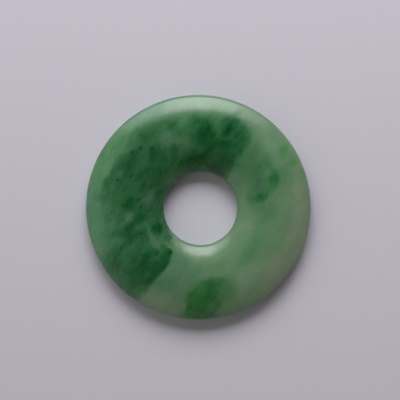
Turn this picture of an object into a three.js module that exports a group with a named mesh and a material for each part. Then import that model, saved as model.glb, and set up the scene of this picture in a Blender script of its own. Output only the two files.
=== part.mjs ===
// A plain jade bi disc: one polished ring of stone with a round hole, lying on its lapped back.
// Millimetres, +Z up. The origin is the centre of the rim's circle, on the plane the disc rests on.
import * as THREE from "three";

const rimDiameter = 50;
const holeDiameter = 16.3;
const thickness = 5.1;
const faceRadius = 16.3; // the face is one shallow arc from edge to edge, highest half-way between
const edgeRadius = 1.3; // rounds the face over to the rim and into the hole
const backEdgeWidth = 2.4; // the rounding between the flat back and the rim, or the hole
const holeDrift = new THREE.Vector2(0.46, -0.23); // how far off centre the hole was drilled

const turnSteps = 96; // facets round the disc
const arcSteps = 5; // three.js draws twice as many along each arc of the section

const quarterTurn = Math.PI / 2;
const rimRadius = rimDiameter / 2;
const holeRadius = holeDiameter / 2;
const crownRadius = (rimRadius + holeRadius) / 2;
const halfWidth = (rimRadius - holeRadius) / 2;

// The face tips over by this angle before the edge's rounding takes over from it. The rounding
// ends upright at the waist, where the rim is widest and the hole narrowest.
const faceTip = Math.asin((halfWidth - edgeRadius) / (faceRadius - edgeRadius));
const faceCentre = thickness - faceRadius;
const waistHeight = faceCentre + (faceRadius - edgeRadius) * Math.cos(faceTip);

// The ring's cross-section, with the radius along x and the height along y: from the flat back
// round the rim, over the face, down the hole and round to the flat back again.
function crossSection() {
  const section = new THREE.Path();
  const addRound = (radius, height, width, rise, start, end) =>
    section.absellipse(radius, height, width, rise, start, end, false, 0);
  const [rimEdge, holeEdge] = [rimRadius - edgeRadius, holeRadius + edgeRadius];
  const [backOuter, backInner] = [rimRadius - backEdgeWidth, holeRadius + backEdgeWidth];
  const [tipOuter, tipInner] = [quarterTurn - faceTip, quarterTurn + faceTip];
  section.moveTo(backOuter, 0);
  addRound(backOuter, waistHeight, backEdgeWidth, waistHeight, -quarterTurn, 0);
  addRound(rimEdge, waistHeight, edgeRadius, edgeRadius, 0, tipOuter);
  addRound(crownRadius, faceCentre, faceRadius, faceRadius, tipOuter, tipInner);
  addRound(holeEdge, waistHeight, edgeRadius, edgeRadius, tipInner, 2 * quarterTurn);
  addRound(backInner, waistHeight, backEdgeWidth, waistHeight, 2 * quarterTurn, 3 * quarterTurn);
  section.closePath();
  return section.getPoints(arcSteps);
}

// Moves the hole off centre and leaves the rim where it is: the stone between them follows in
// proportion to its distance from the rim.
function driftHole(geometry) {
  const position = geometry.getAttribute("position");
  for (let i = 0; i < position.count; i++) {
    const x = position.getX(i);
    const y = position.getY(i);
    const share = (rimRadius - Math.hypot(x, y)) / (rimRadius - holeRadius);
    position.setXY(i, x + share * holeDrift.x, y + share * holeDrift.y);
  }
  return geometry;
}

// A lathe turns its profile about Y, so the ring is laid down with its axis along Z.
const ring = new THREE.LatheGeometry(crossSection(), turnSteps).rotateX(quarterTurn);

const jade = new THREE.MeshStandardMaterial({ color: 0x4f7f5b, roughness: 0.18, metalness: 0 });

const disc = new THREE.Mesh(driftHole(ring), jade);
disc.name = "jade_disc";

const part = new THREE.Group();
part.add(disc);

export default part;
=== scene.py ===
"""A mottled jade bi disc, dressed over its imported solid.

The disc is one ring of stone. This script turns a fine ring to the sizes of the solid, stains
it through with the stone's own figure, polishes it, and sets it on pale paper beside a window.
"""

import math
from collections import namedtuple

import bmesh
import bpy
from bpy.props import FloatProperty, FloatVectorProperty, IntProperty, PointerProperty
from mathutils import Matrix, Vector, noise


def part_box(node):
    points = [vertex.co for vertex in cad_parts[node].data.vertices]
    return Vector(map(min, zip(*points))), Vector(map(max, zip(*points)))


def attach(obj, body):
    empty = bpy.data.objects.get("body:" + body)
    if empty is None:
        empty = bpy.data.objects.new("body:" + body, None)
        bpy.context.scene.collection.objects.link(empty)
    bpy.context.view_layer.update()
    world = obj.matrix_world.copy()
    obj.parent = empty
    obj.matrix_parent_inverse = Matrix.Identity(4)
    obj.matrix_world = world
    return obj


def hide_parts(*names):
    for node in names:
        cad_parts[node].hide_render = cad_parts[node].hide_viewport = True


bl_info = {
    "name": "Jade bi disc",
    "version": (1, 0, 0),
    "blender": (4, 5, 0),
    "location": "View3D > Sidebar > Jade",
    "description": "Turns, stains and polishes a jade ring over its packed solid, and lights it",
    "category": "Add Mesh",
}

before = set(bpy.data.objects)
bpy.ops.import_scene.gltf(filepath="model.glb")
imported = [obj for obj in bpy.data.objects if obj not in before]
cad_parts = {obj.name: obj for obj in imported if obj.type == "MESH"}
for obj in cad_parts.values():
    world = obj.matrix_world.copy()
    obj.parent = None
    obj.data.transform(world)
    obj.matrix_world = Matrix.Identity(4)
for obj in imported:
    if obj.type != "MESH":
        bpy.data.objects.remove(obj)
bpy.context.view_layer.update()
DISC_LOW, DISC_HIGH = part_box("jade_disc")

MM = 0.001


# ---------------------------------------------------------------------------------------------
# What a user would change
# ---------------------------------------------------------------------------------------------


class JadeShape(bpy.types.PropertyGroup):
    """The sizes of the ring."""

    rim_diameter: FloatProperty(
        name="Rim diameter", description="Width of the disc at its waist",
        default=DISC_HIGH.x - DISC_LOW.x, unit="LENGTH",
    )
    thickness: FloatProperty(
        name="Thickness", description="Height of the crown over the back",
        default=DISC_HIGH.z - DISC_LOW.z, unit="LENGTH",
    )
    hole_diameter: FloatProperty(
        name="Hole diameter", description="Width of the hole at its waist",
        default=16.3 * MM, unit="LENGTH",
    )
    hole_drift: FloatVectorProperty(
        name="Hole drift", description="How far off centre the hole was drilled",
        size=2, default=(0.46 * MM, -0.23 * MM), unit="LENGTH",
    )
    face_radius: FloatProperty(
        name="Face radius", description="Radius of the shallow arc across the face",
        default=16.3 * MM, unit="LENGTH",
    )
    edge_radius: FloatProperty(
        name="Edge radius", description="Rounding of the face into the rim and the hole",
        default=1.3 * MM, unit="LENGTH",
    )
    back_edge_width: FloatProperty(
        name="Back edge width", description="Rounding between the flat back and the rim or the hole",
        default=2.4 * MM, unit="LENGTH",
    )
    hand_waver: FloatProperty(
        name="Hand waver", description="How far the polished surface strays from a true curve",
        default=0.02 * MM, unit="LENGTH",
    )
    turn_steps: IntProperty(name="Turn steps", description="Facets round the disc", default=288)
    edge_steps: IntProperty(name="Edge steps", description="Facets along each rounded edge", default=14)
    face_steps: IntProperty(name="Face steps", description="Facets across the face", default=44)


class JadeStone(bpy.types.PropertyGroup):
    """The colours and the finish of the stone, and the painted shade line over its edges."""

    milk: FloatVectorProperty(
        name="Milk", description="The palest ground",
        subtype="COLOR", size=3, default=(0.27, 0.45, 0.28),
    )
    celadon: FloatVectorProperty(
        name="Celadon", description="The common pale green ground",
        subtype="COLOR", size=3, default=(0.19, 0.355, 0.20),
    )
    sage: FloatVectorProperty(
        name="Sage", description="Green just taking hold of the ground",
        subtype="COLOR", size=3, default=(0.12, 0.29, 0.145),
    )
    leaf: FloatVectorProperty(
        name="Leaf", description="The middle green",
        subtype="COLOR", size=3, default=(0.055, 0.21, 0.085),
    )
    emerald: FloatVectorProperty(
        name="Emerald", description="The deep green of the clouds",
        subtype="COLOR", size=3, default=(0.02, 0.14, 0.045),
    )
    pine: FloatVectorProperty(
        name="Pine", description="The darkest green, in the hearts of the clouds",
        subtype="COLOR", size=3, default=(0.003, 0.08, 0.015),
    )
    straw: FloatVectorProperty(
        name="Straw", description="What warm stone gains in red, green and blue",
        size=3, default=(0.30, 0.0, -0.18),
    )
    vivid: FloatVectorProperty(
        name="Vivid", description="What vivid stone gains in red, green and blue",
        size=3, default=(-0.25, 0.25, -0.3),
    )
    # Painted shade: what is kept of each colour on the darker, greyer line over the upper edges.
    edge_shade: FloatVectorProperty(
        name="Worn", description="What is left of each colour on the dull line at the edges",
        size=3, default=(0.92, 0.74, 0.92),
    )
    polish: FloatProperty(
        name="Polish roughness", description="Roughness of the polished surface",
        default=0.2, min=0.0, max=1.0, subtype="FACTOR",
    )
    bending: FloatProperty(
        name="Bending of light", description="Refractive index of jadeite",
        default=1.66, min=1.0,
    )
    gloss: FloatProperty(
        name="Gloss", description="How strongly the polish reflects, with a half as the stone's own",
        default=0.355, min=0.0, max=1.0, subtype="FACTOR",
    )
    glow: FloatProperty(
        name="Glow depth", description="How far light wanders inside the stone",
        default=0.9 * MM, unit="LENGTH",
    )
    glow_reach: FloatVectorProperty(
        name="Glow reach", description="The share of that depth that each colour of light goes",
        size=3, default=(0.7, 1.0, 0.7), min=0.0,
    )
    glow_share: FloatProperty(
        name="Glow share", description="How much of the light goes inside before it comes back",
        default=0.7, min=0.0, max=1.0, subtype="FACTOR",
    )


class JadeStage(bpy.types.PropertyGroup):
    """The paper, the window and the camera."""

    paper: FloatVectorProperty(
        name="Paper", description="Colour of the pale paper",
        subtype="COLOR", size=3, default=(0.81, 0.775, 0.895),
    )
    paper_width: FloatProperty(
        name="Paper width", description="Width of the square sheet", default=3.0, unit="LENGTH"
    )
    window_distance: FloatProperty(
        name="Window distance", description="From the disc to the window's plane",
        default=0.38, unit="LENGTH",
    )
    window_bearing: FloatProperty(
        name="Window bearing", description="Direction the window lies in, anticlockwise from +X",
        default=math.radians(93), subtype="ANGLE",
    )
    window_sill: FloatProperty(
        name="Window sill", description="Rise from the disc to the window's lower edge",
        default=math.radians(19), subtype="ANGLE",
    )
    window_head: FloatProperty(
        name="Window head", description="Rise from the disc to the window's upper edge",
        default=math.radians(49), subtype="ANGLE",
    )
    window_left: FloatProperty(
        name="Window left", description="Sweep from the bearing to the left curtain",
        default=math.radians(16.5), subtype="ANGLE",
    )
    window_right: FloatProperty(
        name="Window right", description="Sweep from the bearing to the right curtain",
        default=math.radians(24), subtype="ANGLE",
    )
    curtain_left: FloatProperty(
        name="Curtain left", description="Sweep from the bearing to the left curtain's far edge",
        default=math.radians(41), subtype="ANGLE",
    )
    curtain_right: FloatProperty(
        name="Curtain right", description="Sweep from the bearing to the right curtain's far edge",
        default=math.radians(43), subtype="ANGLE",
    )
    window_light: FloatProperty(
        name="Window light", description="Radiance of the window", default=6.0
    )
    left_light: FloatProperty(
        name="Left curtain light", description="Radiance of the left curtain", default=2.5
    )
    right_light: FloatProperty(
        name="Right curtain light", description="Radiance of the right curtain", default=2.2
    )
    room_colour: FloatVectorProperty(
        name="Room colour", description="Colour of the dim room's light",
        subtype="COLOR", size=3, default=(1.0, 0.98, 0.9),
    )
    room_light: FloatProperty(
        name="Room light", description="Radiance of the dim room", default=0.29
    )
    room_lean: FloatVectorProperty(
        name="Room lean", description="How much brighter the room is towards each axis",
        size=3, default=(-0.24, -0.05, -0.04),
    )
    camera_shade: FloatProperty(
        name="Camera shade", description="How much darker the room is behind the camera",
        default=0.23,
    )
    shade_spread: FloatProperty(
        name="Shade spread", description="How far from straight overhead that shade reaches",
        default=math.radians(60), subtype="ANGLE",
    )
    camera_height: FloatProperty(
        name="Camera height", description="From the paper to the lens", default=0.35, unit="LENGTH"
    )
    view_width: FloatProperty(
        name="View width", description="Width of the frame at the disc's waist",
        default=89.0 * MM, unit="LENGTH",
    )
    view_centre: FloatVectorProperty(
        name="View centre", description="The point of the disc's plane under the lens",
        size=2, default=(0.37 * MM, 1.60 * MM), unit="LENGTH",
    )


# ---------------------------------------------------------------------------------------------
# The ring
# ---------------------------------------------------------------------------------------------

WELD = 0.001 * MM  # points nearer than this are one point
WAVES_PER_METRE = 110.0  # how close together the soft hollows in the polish lie
TRUE_BACK = 0.4 * MM  # the hollows fade out below this height, so the back stays flat


def face_tip(shape):
    """How far the face's arc turns from level before an edge's rounding takes over."""
    ring_width = (shape.rim_diameter - shape.hole_diameter) / 2
    reach = ring_width / 2 - shape.edge_radius
    return math.asin(reach / (shape.face_radius - shape.edge_radius))


def waist_height(shape):
    """The height where the rim and the hole stand upright, over the flat back."""
    face_centre = shape.thickness - shape.face_radius
    return face_centre + (shape.face_radius - shape.edge_radius) * math.cos(face_tip(shape))


def cross_section(shape):
    """The ring's section as (radius, height) pairs: from the flat back round the rim, over the
    face, down the hole and round to the flat back again."""
    rim, hole = shape.rim_diameter / 2, shape.hole_diameter / 2
    face, edge, back = shape.face_radius, shape.edge_radius, shape.back_edge_width
    tip, waist = face_tip(shape), waist_height(shape)
    face_centre = shape.thickness - face
    upright = math.pi / 2
    rounds = (
        (rim - back, waist, back, waist, -upright, 0.0, shape.edge_steps),
        (rim - edge, waist, edge, edge, 0.0, upright - tip, shape.edge_steps),
        ((rim + hole) / 2, face_centre, face, face, upright - tip, upright + tip, shape.face_steps),
        (hole + edge, waist, edge, edge, upright + tip, 2 * upright, shape.edge_steps),
        (hole + back, waist, back, waist, 2 * upright, 3 * upright, shape.edge_steps),
    )
    points = []
    for radius, height, width, rise, start, end, steps in rounds:
        for step in range(steps):
            angle = start + (end - start) * step / steps
            points.append((radius + width * math.cos(angle), height + rise * math.sin(angle)))
    points.append((hole + back, 0.0))
    return points


def turn_ring(shape):
    """Spins the section about Z and moves the hole off centre, as it was drilled."""
    bm = bmesh.new()
    section = [bm.verts.new((radius, 0.0, height)) for radius, height in cross_section(shape)]
    for start, end in zip(section, section[1:] + section[:1]):
        bm.edges.new((start, end))
    bmesh.ops.spin(
        bm, geom=bm.verts[:] + bm.edges[:], cent=(0, 0, 0), axis=(0, 0, 1),
        angle=math.tau, steps=shape.turn_steps, use_merge=True,
    )
    bmesh.ops.remove_doubles(bm, verts=bm.verts, dist=WELD)
    bmesh.ops.recalc_face_normals(bm, faces=bm.faces)
    rim, hole = shape.rim_diameter / 2, shape.hole_diameter / 2
    drift = Vector((*shape.hole_drift, 0.0))
    for vert in bm.verts:
        share = (rim - vert.co.xy.length) / (rim - hole)
        vert.co += share * drift
    return bm


def waver_surface(bm, shape):
    """Lets the polish dip a little under the true curve, in soft hollows, except on the back."""
    bm.normal_update()
    moves = []
    for vert in bm.verts:
        free = min(1.0, vert.co.z / TRUE_BACK)
        dip = (1 + noise.noise(vert.co * WAVES_PER_METRE)) / 2
        moves.append(-vert.normal * dip * shape.hand_waver * free)
    for vert, move in zip(bm.verts, moves):
        vert.co += move


# ---------------------------------------------------------------------------------------------
# The stone
# ---------------------------------------------------------------------------------------------

# One cloud of colour in the stone, in millimetres on the face. The x and y of its middle, how
# far it reaches each way along its length and its width, the bearing of its length in degrees,
# how soft its edge is (0 crisp, 1 soft right to its middle), and how green (0 milk, 1 pine), how
# warm and how vivid the stone is inside it. Later clouds lie over earlier ones.
Cloud = namedtuple("Cloud", "x y length width bearing softness green warm vivid")

GROUND = (0.26, 0.0, -0.1)  # the green, warmth and vividness of the stone between the clouds
CLOUD_HEIGHT = 14.0  # half the height of every cloud: far more than the disc's, so all run through
CLOUD_MIDDLE = 3.0  # the height of their middles, just over half-way up the disc

# The finer figure. Scales are in waves per millimetre, reaches in millimetres.
NOISE_SPREAD = 0.25  # how far noise mostly strays from its middle value
MIDDLE = 0.5  # that middle value
FOLD_SCALE, FOLD_REACH = 0.3, 0.4  # slow folds in the clouds
FEATHER_SCALE, FEATHER_REACH = 1.1, 0.2  # fine feathering of their edges
GRAIN_BEARING = math.radians(55)  # the stone's fibres run north-east
GRAIN_STRETCH = 2.2  # how much longer the mottling is along the fibres than across them
PALE_GREEN, DEEP_GREEN = 0.2, 0.8  # what counts as pale stone and as deep stone
MOTTLE_SCALE, MOTTLE_DETAIL, MOTTLE_ROUGHNESS = 0.42, 4.0, 0.58
MOTTLE_IN_PALE, MOTTLE_IN_DEEP = 0.28, 0.75  # how strong the mottling is in each
FLECK_SCALE, FLECK_DETAIL = 1.2, 0.5
FLECK_START, FLECK_CORE = 0.2, 0.3  # the noise at a dark fleck's edge and in its middle
FLECK_GREEN, FLECK_GREENEST = 0.45, 0.8  # flecks begin at the one and are strongest at the other
FLECK_STRENGTH = 0.3
DRIFT_SCALE, DRIFT_DETAIL, DRIFT_STRENGTH = 0.17, 3.0, 0.8  # slow drift between warm and cool
PULL_SCALE, PULL_DETAIL = 1.3, 3.0  # the faint pull that polishing leaves in the surface
PULL_ROUGHNESS, PULL_STRENGTH, PULL_DEPTH = 0.12, 0.12, 0.05 * MM

# The dull line is painted shade, darker and greyer, over the upper edges of the rim and the hole.
EDGE_LINE_REACH = 0.55  # how far the dull line comes in from the rim and the hole, in millimetres
EDGE_LINE_FADE = 0.5  # how much of that it takes to fade out on the face
EDGE_LINE_LIFT = 0.6  # and how far over the waist it comes up in full: the sides stay bright

CLOUDS = (
    # the pale east side, its warm rim and the greener stone inside it
    Cloud(22.4, -3.0, 9.0, 3.6, 88, 0.9, 0.05, 0.42, -0.25),
    # warm at the lower-right rim: partly the stone's straw tint, partly painted reflection of the
    # shadowed paper
    Cloud(18.9, -15.0, 9.0, 4.4, 50, 0.9, -0.05, 0.48, -0.3),
    Cloud(10.0, -18.5, 4.0, 3.2, 20, 0.9, 0.06, 0.4, 0.0),
    Cloud(12.5, -6.0, 8.0, 3.2, 58, 0.9, 0.3, 0.05, 0.0),
    Cloud(11.5, -16.0, 5.0, 2.6, 60, 0.9, 0.07, 0.15, -0.1),
    Cloud(19.0, 7.0, 3.0, 1.6, 80, 0.9, 0.34, 0.0, 0.15),
    Cloud(12.3, 7.3, 7.2, 3.4, 98, 0.8, 0.5, 0.0, 0.0),
    Cloud(17.3, -6.5, 4.0, 1.6, 75, 0.9, 0.16, -0.05, 0.0),
    Cloud(19.6, 1.0, 3.0, 1.4, 90, 0.9, 0.18, 0.0, 0.0),
    Cloud(9.5, 2.0, 3.0, 1.5, 95, 0.9, 0.34, 0.1, -0.15),
    Cloud(14.2, 10.4, 1.4, 0.9, 120, 0.9, 0.4, 0.0, 0.0),
    Cloud(16.5, 13.0, 4.5, 1.4, 130, 0.8, 0.15, 0.0, 0.0),
    Cloud(21.0, 13.5, 3.5, 1.3, 125, 0.9, 0.2, 0.4, 0.15),
    Cloud(22.0, 9.0, 2.4, 1.3, 110, 0.8, 0.2, 0.5, 0.0),
    Cloud(10.6, -4.4, 2.3, 1.3, 60, 0.8, 0.19, -0.1, -0.15),
    Cloud(11.0, -9.6, 3.2, 1.3, 55, 0.9, 0.39, 0.0, 0.1),
    # small bright clouds on the east side
    Cloud(16.6, 6.3, 1.6, 1.2, 65, 0.6, 0.63, 0.0, 0.55),
    Cloud(16.0, 8.7, 1.3, 0.7, 120, 0.8, 0.48, 0.0, 0.4),
    Cloud(11.6, 2.4, 1.5, 1.0, 90, 0.9, 0.48, 0.0, 0.1),
    Cloud(14.2, 2.5, 1.6, 1.1, 40, 0.7, 0.7, 0.0, 0.4),
    Cloud(16.0, 4.2, 1.8, 0.9, 50, 0.9, 0.56, 0.0, 0.3),
    Cloud(18.8, 12.3, 1.6, 0.9, 70, 0.7, 0.4, 0.05, 0.35),
    Cloud(20.8, 10.0, 1.2, 0.9, 40, 0.7, 0.4, 0.1, 0.35),
    # grey-green stone south of the hole
    Cloud(-4.0, -14.0, 6.0, 3.2, 60, 0.9, 0.41, 0.1, -0.2),
    Cloud(0.0, -10.2, 5.0, 1.6, 0, 0.9, 0.2, 0.28, -0.1),
    Cloud(-5.0, -11.2, 1.8, 1.3, 0, 0.9, 0.45, 0.0, -0.1),
    # a cooler tint under the north-west rim, where the window's highlight falls
    Cloud(-10.0, 21.8, 7.0, 2.4, 28, 0.9, 0.34, -0.5, -0.1),
    # the great bank down the west side and round the north
    Cloud(-6.0, 15.5, 9.0, 4.6, 15, 0.5, 0.6, -0.05, 0.0),
    Cloud(-4.5, 9.0, 7.5, 3.0, 10, 0.8, 0.63, 0.25, -0.1),
    Cloud(-14.0, 1.0, 15.0, 6.6, 92, 0.4, 0.71, 0.0, -0.1),
    Cloud(-12.5, 11.5, 7.5, 4.2, 52, 0.5, 0.74, -0.05, -0.1),
    Cloud(-19.5, -5.0, 7.0, 3.0, 108, 0.8, 0.54, -0.25, 0.0),
    Cloud(-8.8, 0.5, 6.5, 1.8, 95, 0.8, 0.73, 0.35, -0.2),
    # the paler skin along the west rim
    Cloud(-18.8, 14.0, 6.5, 2.9, 50, 0.3, 0.44, 0.0, 0.2),
    Cloud(-21.8, 8.8, 5.0, 2.6, 70, 0.3, 0.41, -0.1, 0.15),
    Cloud(-24.0, 0.0, 6.0, 2.0, 90, 0.6, 0.4, -0.5, -0.1),
    # painted shade: two thin greyer lines on the north-west rim's edge
    Cloud(-14.3, 20.5, 4.5, 0.6, 35, 0.8, 0.42, -0.3, -0.3),
    Cloud(-21.2, 13.3, 4.5, 0.6, 58, 0.8, 0.52, 0.0, -0.1),
    Cloud(-23.0, -6.0, 5.0, 2.4, 100, 0.7, 0.36, -0.4, 0.1),
    # the south-west patch, cut off straight on its south-east side
    Cloud(-9.5, -11.9, 4.0, 2.6, 52, 0.2, 0.86, 0.0, -0.1),
    Cloud(-6.9, -10.8, 1.5, 0.9, 62, 0.3, 0.84, 0.0, 0.0),
    Cloud(-14.8, -13.6, 6.6, 5.2, 50, 0.3, 0.66, -0.25, 0.0),
    Cloud(-13.1, -17.0, 4.0, 2.4, 50, 0.3, 0.83, -0.3, 0.25),
    Cloud(-19.5, -11.5, 2.2, 1.5, 60, 0.8, 0.69, -0.35, 0.15),
    Cloud(-17.0, -14.0, 2.1, 1.4, 130, 0.9, 0.78, -0.2, 0.1),
    Cloud(-11.4, -12.8, 3.3, 2.4, 45, 0.8, 0.85, -0.05, 0.0),
    Cloud(-16.8, -17.9, 3.0, 1.1, 137, 0.8, 0.62, -0.35, 0.2),
    # paler places and veins in the bank
    Cloud(-7.5, 15.7, 2.6, 1.4, 40, 0.9, 0.47, -0.15, -0.2),
    Cloud(-2.5, 19.3, 2.0, 1.2, 20, 0.8, 0.46, 0.0, 0.2),
    Cloud(-5.0, 14.4, 1.5, 1.1, 20, 0.9, 0.42, 0.5, -0.1),
    Cloud(-10.6, 2.0, 1.8, 1.4, 90, 0.9, 0.53, 0.2, -0.4),
    Cloud(-21.6, 2.8, 2.0, 1.2, 20, 0.8, 0.56, -0.2, 0.0),
    Cloud(-17.6, 4.8, 2.0, 0.8, 70, 0.8, 0.78, 0.0, -0.1),
    Cloud(-20.0, 8.6, 2.2, 0.9, 70, 0.7, 0.32, 0.0, 0.15),
    Cloud(-15.5, -2.0, 1.2, 0.9, 120, 0.7, 0.5, 0.1, -0.2),
    Cloud(-10.6, -5.8, 2.6, 0.6, 118, 0.8, 0.5, 0.0, -0.1),
    Cloud(-6.2, -7.2, 2.8, 1.0, 132, 0.7, 0.62, 0.0, -0.1),
    Cloud(-9.0, -8.3, 1.6, 0.8, 130, 0.8, 0.44, 0.0, -0.3),
    Cloud(-14.3, -9.0, 1.6, 0.9, 20, 0.9, 0.58, -0.3, 0.0),
    # paler stone, partly a painted highlight at the west end of the hole's lower highlight
    Cloud(-5.2, -7.8, 1.0, 0.6, 135, 0.7, 0.36, 0.2, 0.0),
    Cloud(-13.8, 3.8, 1.3, 1.0, 90, 0.9, 0.6, -0.1, 0.0),
    Cloud(-14.3, 15.4, 1.4, 0.8, 50, 0.8, 0.5, 0.0, 0.1),
    Cloud(-17.0, -1.0, 1.4, 0.9, 90, 0.9, 0.6, -0.1, 0.0),
    Cloud(-10.0, 9.0, 1.4, 1.0, 40, 0.9, 0.67, 0.0, 0.0),
    # paler stone, partly a painted highlight at the west end of the hole's lower highlight
    Cloud(-4.8, -9.0, 0.9, 0.6, 130, 0.8, 0.28, 0.0, 0.0),
    # dark spots in the bank
    Cloud(-20.3, 4.0, 1.6, 1.0, 80, 0.9, 0.68, -0.2, 0.0),
    Cloud(-6.0, 12.9, 1.4, 0.9, 30, 0.9, 0.73, 0.1, 0.0),
    Cloud(-12.0, 14.3, 1.2, 0.8, 50, 0.9, 0.8, -0.1, 0.0),
    Cloud(-13.9, 11.5, 0.9, 0.7, 60, 0.8, 0.87, 0.0, 0.0),
    Cloud(-8.0, 11.2, 1.4, 0.8, 90, 0.9, 0.8, 0.0, -0.1),
    Cloud(-15.6, 0.6, 1.4, 0.9, 40, 0.7, 0.88, 0.0, 0.1),
    Cloud(-16.4, -5.5, 2.1, 1.3, 10, 0.5, 0.83, -0.05, 0.0),
    Cloud(-9.2, -4.7, 1.1, 1.0, 0, 0.6, 0.9, 0.0, 0.1),
    Cloud(-12.4, -2.6, 1.8, 0.8, 20, 0.8, 0.82, 0.0, 0.0),
    Cloud(-5.6, 18.0, 1.2, 0.8, 50, 0.8, 0.72, 0.0, 0.0),
    Cloud(-13.0, 12.7, 0.6, 0.3, 30, 0.6, 1.0, 0.0, 0.0),
    Cloud(-10.2, 12.7, 0.5, 0.4, 80, 0.8, 0.9, 0.0, 0.0),
    Cloud(-17.8, 5.9, 0.4, 0.3, 0, 0.6, 1.0, 0.0, 0.0),
    # the north patch: two hearts with a paler cleft between, and a lobe down towards the hole
    Cloud(-1.2, 13.4, 2.0, 1.7, 90, 0.9, 0.5, 0.1, 0.0),
    Cloud(-0.5, 17.3, 2.4, 2.0, 90, 0.8, 0.76, 0.0, 0.0),
    Cloud(4.9, 15.1, 6.5, 5.7, 5, 0.2, 0.7, -0.3, -0.05),
    Cloud(2.0, 15.6, 2.6, 1.9, 100, 0.8, 0.98, 0.0, 0.1),
    Cloud(6.6, 17.1, 2.0, 0.9, 48, 0.8, 0.9, 0.0, 0.1),
    Cloud(4.9, 13.9, 1.5, 0.9, 0, 0.8, 0.93, 0.0, 0.0),
    Cloud(5.7, 10.0, 3.5, 2.3, 55, 0.7, 0.9, 0.0, 0.1),
    Cloud(3.9, 19.3, 2.6, 1.2, 98, 0.8, 0.52, 0.0, 0.1),
    Cloud(4.8, 20.9, 2.4, 1.1, 10, 0.8, 0.41, 0.0, 0.1),
    Cloud(8.4, 20.6, 1.3, 0.7, 30, 0.8, 0.6, 0.0, 0.0),
    Cloud(8.2, 18.6, 1.0, 0.6, 50, 0.8, 0.84, -0.1, 0.0),
    Cloud(9.2, 13.0, 1.5, 0.9, 100, 0.7, 0.79, -0.2, 0.0),
    Cloud(8.7, 16.3, 1.2, 0.8, 60, 0.8, 0.8, -0.1, 0.1),
    Cloud(0.6, 10.2, 4.8, 2.0, 0, 0.8, 0.97, 0.2, 0.1),
    Cloud(-1.3, 12.5, 1.9, 1.3, 0, 0.9, 0.68, 0.1, 0.0),
    # painted shade: the deepest green along the hole's upper edge, which faces away from the window
    Cloud(3.8, 8.1, 2.4, 0.8, 150, 0.8, 1.0, 0.0, 0.0),
    Cloud(8.9, 9.2, 1.4, 1.0, 60, 0.9, 0.6, 0.0, 0.0),
    # the south patch, crisp on its west side and fading east
    Cloud(1.2, -20.8, 5.2, 3.9, 55, 0.3, 0.63, 0.1, 0.4),
    Cloud(4.3, -17.1, 2.5, 1.7, 10, 0.7, 0.64, 0.1, 0.3),
    Cloud(-0.4, -21.8, 3.8, 2.2, 60, 0.7, 0.67, 0.2, 0.85),
    Cloud(6.5, -18.5, 2.4, 1.6, 60, 0.9, 0.4, 0.15, 0.1),
    # grey and straw-coloured stone between the two southern patches
    Cloud(-8.4, -17.8, 3.4, 1.7, 42, 0.9, 0.42, 0.1, -0.1),
    Cloud(-4.4, -21.4, 1.8, 0.9, 80, 0.9, 0.36, 0.2, 0.1),
    Cloud(-8.4, -21.5, 4.4, 2.4, 155, 0.8, 0.12, 0.27, -0.2),
    Cloud(4.0, -13.2, 3.0, 1.0, 10, 0.9, 0.33, 0.25, -0.1),
    Cloud(7.0, -22.3, 2.6, 1.3, 25, 0.9, 0.2, 0.4, 0.1),
)


def add_node(tree, kind, inputs=None, **settings):
    """Adds a shader node with its settings, and feeds its inputs with sockets or plain values."""
    made = tree.nodes.new("ShaderNode" + kind)
    for name, value in settings.items():
        setattr(made, name, value)
    for key, value in (inputs or {}).items():
        if isinstance(value, bpy.types.NodeSocket):
            tree.links.new(value, made.inputs[key])
        else:
            made.inputs[key].default_value = value
    return made


def calc(tree, operation, first, second=0.0, third=0.0):
    """One step of arithmetic on up to three numbers."""
    inputs = {0: first, 1: second, 2: third}
    return add_node(tree, "Math", inputs, operation=operation).outputs[0]


def vector(tree, operation, first, second):
    """One step of arithmetic on two vectors, or on a vector and a scale."""
    second_input = "Scale" if operation == "SCALE" else 1
    inputs = {0: first, second_input: second}
    return add_node(tree, "VectorMath", inputs, operation=operation).outputs[0]


def blend(tree, value, low, high, start=0.0, end=1.0):
    """Runs smoothly from start to end while the value runs from low to high."""
    inputs = {"Value": value, "From Min": low, "From Max": high, "To Min": start, "To Max": end}
    return add_node(tree, "MapRange", inputs, interpolation_type="SMOOTHSTEP").outputs[0]


def mix_vector(tree, share, outside, inside):
    """Runs from one vector outside to another inside as the share goes from 0 to 1."""
    mix = add_node(tree, "Mix", data_type="VECTOR")
    for key, value in (("Factor", share), ("A", outside), ("B", inside)):
        kind = "VALUE" if key == "Factor" else "VECTOR"
        socket = next(s for s in mix.inputs if s.name == key and s.type == kind)
        if isinstance(value, bpy.types.NodeSocket):
            tree.links.new(value, socket)
        else:
            socket.default_value = value
    return next(s for s in mix.outputs if s.type == "VECTOR")


def soft_noise(tree, place, scale, detail=2.0, roughness=0.5):
    """The outputs of a noise node: one value, and three in a colour, all about the middle."""
    inputs = {"Vector": place, "Scale": scale, "Detail": detail, "Roughness": roughness}
    return add_node(tree, "TexNoise", inputs).outputs


def turbulence(tree, place, *settings):
    """Soft noise of those settings about nought, mostly within a quarter either way."""
    value = soft_noise(tree, place, *settings)["Fac"]
    return calc(tree, "SUBTRACT", value, MIDDLE)


def stir(tree, place, scale, reach):
    """The place shifted every way by soft noise of that scale, by about the reach."""
    swirl = soft_noise(tree, place, scale)["Color"]
    centred = vector(tree, "SUBTRACT", swirl, (MIDDLE, MIDDLE, MIDDLE))
    return vector(tree, "ADD", place, vector(tree, "SCALE", centred, reach / NOISE_SPREAD))


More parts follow.
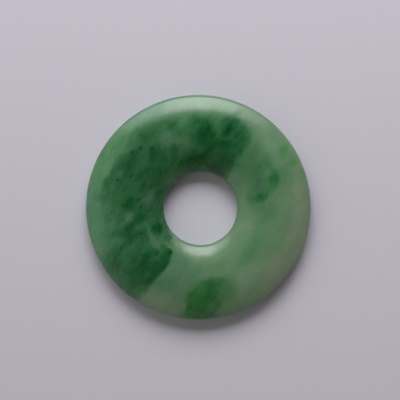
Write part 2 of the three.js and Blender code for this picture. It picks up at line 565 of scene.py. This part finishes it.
def cloud_share(tree, place, cloud):
    """How much of one cloud there is at a place: 0 outside, 1 well inside, a half at its reach."""
    reach = Vector((cloud.length, cloud.width, CLOUD_HEIGHT))
    inputs = {
        "Vector": place,
        "Location": (cloud.x, cloud.y, CLOUD_MIDDLE),
        "Rotation": (0.0, 0.0, math.radians(cloud.bearing)),
        "Scale": 2 * reach,
    }
    local = add_node(tree, "Mapping", inputs, vector_type="TEXTURE").outputs[0]
    ball = add_node(tree, "TexGradient", {"Vector": local}, gradient_type="SPHERICAL")
    # the ball fades from 1 in its middle through a half at the reach to 0 at twice that
    start, end = (1 - cloud.softness) / 2, (1 + cloud.softness) / 2
    return blend(tree, ball.outputs["Fac"], start, end)


def stone_figure(tree, place):
    """How green, how warm and how vivid the stone is at a place, clouds and mottling together."""
    folded = stir(tree, place, FOLD_SCALE, FOLD_REACH)
    stirred = stir(tree, folded, FEATHER_SCALE, FEATHER_REACH)
    figure = GROUND
    for cloud in CLOUDS:
        share = cloud_share(tree, stirred, cloud)
        inside = (cloud.green, cloud.warm, cloud.vivid)
        figure = mix_vector(tree, share, figure, inside)
    green, warm, vivid = add_node(tree, "SeparateXYZ", {0: figure}).outputs

    inputs = {
        "Vector": stirred,
        "Rotation": (0.0, 0.0, GRAIN_BEARING),
        "Scale": (GRAIN_STRETCH, 1.0, 1.0),
    }
    along_grain = add_node(tree, "Mapping", inputs, vector_type="TEXTURE").outputs[0]
    mottle = turbulence(tree, along_grain, MOTTLE_SCALE, MOTTLE_DETAIL, MOTTLE_ROUGHNESS)
    strength = blend(tree, green, PALE_GREEN, DEEP_GREEN, MOTTLE_IN_PALE, MOTTLE_IN_DEEP)
    green = calc(tree, "MULTIPLY_ADD", mottle, strength, green)
    fleck = turbulence(tree, along_grain, FLECK_SCALE, FLECK_DETAIL)
    fleck = blend(tree, fleck, FLECK_START, FLECK_CORE)
    strength = blend(tree, green, FLECK_GREEN, FLECK_GREENEST, 0.0, FLECK_STRENGTH)
    green = calc(tree, "ADD", green, calc(tree, "MULTIPLY", fleck, strength))
    drift = turbulence(tree, place, DRIFT_SCALE, DRIFT_DETAIL)
    warm = calc(tree, "MULTIPLY_ADD", drift, DRIFT_STRENGTH, warm)
    return green, warm, vivid


def painted_edge_shade(tree, place, shape):
    """How near a place is to the painted shade line over the rim or the hole: 1 on it, 0 away from it.
    """
    rim_line = shape.rim_diameter / 2 / MM - EDGE_LINE_REACH
    hole_line = shape.hole_diameter / 2 / MM + EDGE_LINE_REACH
    waist = waist_height(shape) / MM
    across = vector(tree, "MULTIPLY", place, (1.0, 1.0, 0.0))
    from_axis = add_node(tree, "VectorMath", {0: across}, operation="LENGTH").outputs["Value"]
    at_rim = blend(tree, from_axis, rim_line, rim_line + EDGE_LINE_FADE)
    across = vector(tree, "SUBTRACT", across, Vector((*shape.hole_drift, 0.0)) / MM)
    from_hole = add_node(tree, "VectorMath", {0: across}, operation="LENGTH").outputs["Value"]
    at_hole = blend(tree, from_hole, hole_line - EDGE_LINE_FADE, hole_line, 1.0, 0.0)
    height = add_node(tree, "SeparateXYZ", {0: place}).outputs["Z"]
    upper_half = blend(tree, height, waist, waist + EDGE_LINE_LIFT)
    return calc(tree, "MULTIPLY", calc(tree, "ADD", at_rim, at_hole), upper_half)


def jade_colour(tree, stone, shape, place):
    """The colour of the stone at a place, with painted shade on a thin line over the upper edges."""
    green, warm, vivid = stone_figure(tree, place)
    ramp = add_node(tree, "ValToRGB", {0: green})
    tones = (stone.milk, stone.celadon, stone.sage, stone.leaf, stone.emerald, stone.pine)
    last = len(tones) - 1
    elements = ramp.color_ramp.elements
    for step in range(1, last):
        elements.new(step / last)
    for element, tone in zip(elements, tones):
        element.color = (*tone, 1.0)
    gain = vector(tree, "SCALE", tuple(stone.straw), warm)
    gain = vector(tree, "ADD", gain, vector(tree, "SCALE", tuple(stone.vivid), vivid))
    gain = vector(tree, "ADD", gain, (1.0, 1.0, 1.0))
    colour = vector(tree, "MULTIPLY", ramp.outputs["Color"], gain)
    # painted shade: the colour darkened and greyed on a thin line over the upper edges
    dull = vector(tree, "MULTIPLY", colour, tuple(stone.edge_shade))
    return mix_vector(tree, painted_edge_shade(tree, place, shape), colour, dull)


def jade_material(stone, shape):
    """Polished, translucent jade: a pale ground with soft clouds of green."""
    material = bpy.data.materials.new("polished_jade")
    material.use_nodes = True
    tree = material.node_tree
    shader = tree.nodes["Principled BSDF"]

    spot = add_node(tree, "TexCoord").outputs["Object"]
    place = vector(tree, "SCALE", spot, 1 / MM)
    tree.links.new(jade_colour(tree, stone, shape, place), shader.inputs["Base Color"])

    pull = turbulence(tree, place, PULL_SCALE, PULL_DETAIL)
    roughness = calc(tree, "MULTIPLY_ADD", pull, PULL_ROUGHNESS, stone.polish)
    tree.links.new(roughness, shader.inputs["Roughness"])
    inputs = {"Strength": PULL_STRENGTH, "Distance": PULL_DEPTH, "Height": pull}
    skin = add_node(tree, "Bump", inputs)
    tree.links.new(skin.outputs["Normal"], shader.inputs["Normal"])
    shader.inputs["IOR"].default_value = stone.bending
    shader.inputs["Specular IOR Level"].default_value = stone.gloss
    shader.inputs["Subsurface Weight"].default_value = stone.glow_share
    shader.inputs["Subsurface Radius"].default_value = stone.glow_reach
    shader.inputs["Subsurface Scale"].default_value = stone.glow
    return material


# ---------------------------------------------------------------------------------------------
# Operators
# ---------------------------------------------------------------------------------------------

MATT_ROUGHNESS, MATT_GLOSS = 0.9, 0.2  # the finish of plain paper
NEAREST_SEEN = 10 * MM  # how close to the lens the view begins


def add_object(context, name, data):
    """Links a new object for this data into the scene."""
    made = bpy.data.objects.new(name, data)
    context.scene.collection.objects.link(made)
    return made


class JADE_OT_disc(bpy.types.Operator):
    """Turn, stain and polish the jade disc"""

    bl_idname = "jade.disc"
    bl_label = "Jade disc"

    def execute(self, context):
        shape = context.scene.jade_shape
        bm = turn_ring(shape)
        waver_surface(bm, shape)
        mesh = bpy.data.meshes.new("polished_disc")
        bm.to_mesh(mesh)
        bm.free()
        mesh.shade_smooth()
        mesh.materials.append(jade_material(context.scene.jade_stone, shape))
        disc = add_object(context, "polished_disc", mesh)
        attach(disc, "root")
        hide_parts("jade_disc")
        return {"FINISHED"}


def paper_floor(context, stage):
    """A wide sheet of pale paper under the disc."""
    bm = bmesh.new()
    bmesh.ops.create_grid(bm, x_segments=1, y_segments=1, size=stage.paper_width / 2)
    mesh = bpy.data.meshes.new("paper")
    bm.to_mesh(mesh)
    bm.free()
    material = bpy.data.materials.new("pale_paper")
    material.use_nodes = True
    shader = material.node_tree.nodes["Principled BSDF"]
    shader.inputs["Base Color"].default_value = (*stage.paper, 1.0)
    shader.inputs["Roughness"].default_value = MATT_ROUGHNESS
    shader.inputs["Specular IOR Level"].default_value = MATT_GLOSS
    mesh.materials.append(material)
    paper = add_object(context, "paper", mesh)


def pane(context, stage, name, left, right, radiance):
    """One upright pane of light in the window's plane, between two sweeps from its bearing."""
    distance = stage.window_distance
    start, end = distance * math.tan(-right), distance * math.tan(left)
    sill, head = distance * math.tan(stage.window_sill), distance * math.tan(stage.window_head)
    light = bpy.data.lights.new(name, "AREA")
    light.shape = "RECTANGLE"
    light.size = end - start
    light.size_y = head - sill
    light.energy = radiance * math.pi * light.size * light.size_y
    made = add_object(context, name, light)
    toward = Vector((math.cos(stage.window_bearing), math.sin(stage.window_bearing), 0.0))
    leftward = Vector((-toward.y, toward.x, 0.0))
    middle = Vector((0.0, 0.0, (sill + head) / 2))
    made.location = toward * distance + leftward * (start + end) / 2 + middle
    made.rotation_mode = "QUATERNION"
    made.rotation_quaternion = toward.to_track_quat("Z", "Y")
    made.visible_camera = False


def window(context, stage):
    """A bright window with a thin curtain over each end."""
    left, right = stage.window_left, stage.window_right
    pane(context, stage, "window", left, right, stage.window_light)
    pane(context, stage, "left_curtain", stage.curtain_left, -left, stage.left_light)
    pane(context, stage, "right_curtain", -right, stage.curtain_right, stage.right_light)


def dim_room(context, stage):
    """A dim room round the window, brighter on one side and darker behind the camera."""
    world = bpy.data.worlds.new("room")
    world.use_nodes = True
    tree = world.node_tree
    direction = add_node(tree, "TexCoord").outputs["Generated"]
    inputs = {0: direction, 1: tuple(stage.room_lean)}
    lean = add_node(tree, "VectorMath", inputs, operation="DOT_PRODUCT").outputs["Value"]
    height = add_node(tree, "SeparateXYZ", {0: direction}).outputs["Z"]
    shade = blend(tree, height, math.cos(stage.shade_spread), 1.0, 0.0, stage.camera_shade)
    light = calc(tree, "SUBTRACT", calc(tree, "ADD", stage.room_light, lean), shade)
    strength = calc(tree, "MAXIMUM", light, 0.0)
    background = tree.nodes["Background"]
    background.inputs["Color"].default_value = (*stage.room_colour, 1.0)
    tree.links.new(strength, background.inputs["Strength"])
    context.scene.world = world


def camera_above(context, stage):
    """A camera that looks straight down on the disc."""
    camera = bpy.data.cameras.new("camera")
    waist = DISC_LOW.z + waist_height(context.scene.jade_shape)
    camera.lens = camera.sensor_width * (stage.camera_height - waist) / stage.view_width
    camera.clip_start = NEAREST_SEEN
    made = add_object(context, "camera", camera)
    made.location = (*stage.view_centre, stage.camera_height)
    context.scene.camera = made


class JADE_OT_stage(bpy.types.Operator):
    """Set the paper, the window, the room and the camera"""

    bl_idname = "jade.stage"
    bl_label = "Paper and window"

    def execute(self, context):
        stage = context.scene.jade_stage
        camera_above(context, stage)
        paper_floor(context, stage)
        window(context, stage)
        dim_room(context, stage)
        context.scene.view_settings.view_transform = "Standard"
        return {"FINISHED"}


class JADE_PT_sidebar(bpy.types.Panel):
    """Lists the operators and what they read"""

    bl_label = "Jade bi disc"
    bl_space_type = "VIEW_3D"
    bl_region_type = "UI"
    bl_category = "Jade"

    def draw(self, context):
        for operator, settings in (
            (JADE_OT_disc, (context.scene.jade_shape, context.scene.jade_stone)),
            (JADE_OT_stage, (context.scene.jade_stage,)),
        ):
            box = self.layout.box()
            box.operator(operator.bl_idname)
            for group in settings:
                for name in group.__annotations__:
                    box.prop(group, name)


CLASSES = (JadeShape, JadeStone, JadeStage, JADE_OT_disc, JADE_OT_stage, JADE_PT_sidebar)


def register():
    for cls in CLASSES:
        bpy.utils.register_class(cls)
    bpy.types.Scene.jade_shape = PointerProperty(type=JadeShape)
    bpy.types.Scene.jade_stone = PointerProperty(type=JadeStone)
    bpy.types.Scene.jade_stage = PointerProperty(type=JadeStage)


def unregister():
    del bpy.types.Scene.jade_stage
    del bpy.types.Scene.jade_stone
    del bpy.types.Scene.jade_shape
    for cls in reversed(CLASSES):
        bpy.utils.unregister_class(cls)


def main():
    register()
    bpy.ops.jade.stage()
    bpy.ops.jade.disc()


if __name__ == "__main__":
    main()
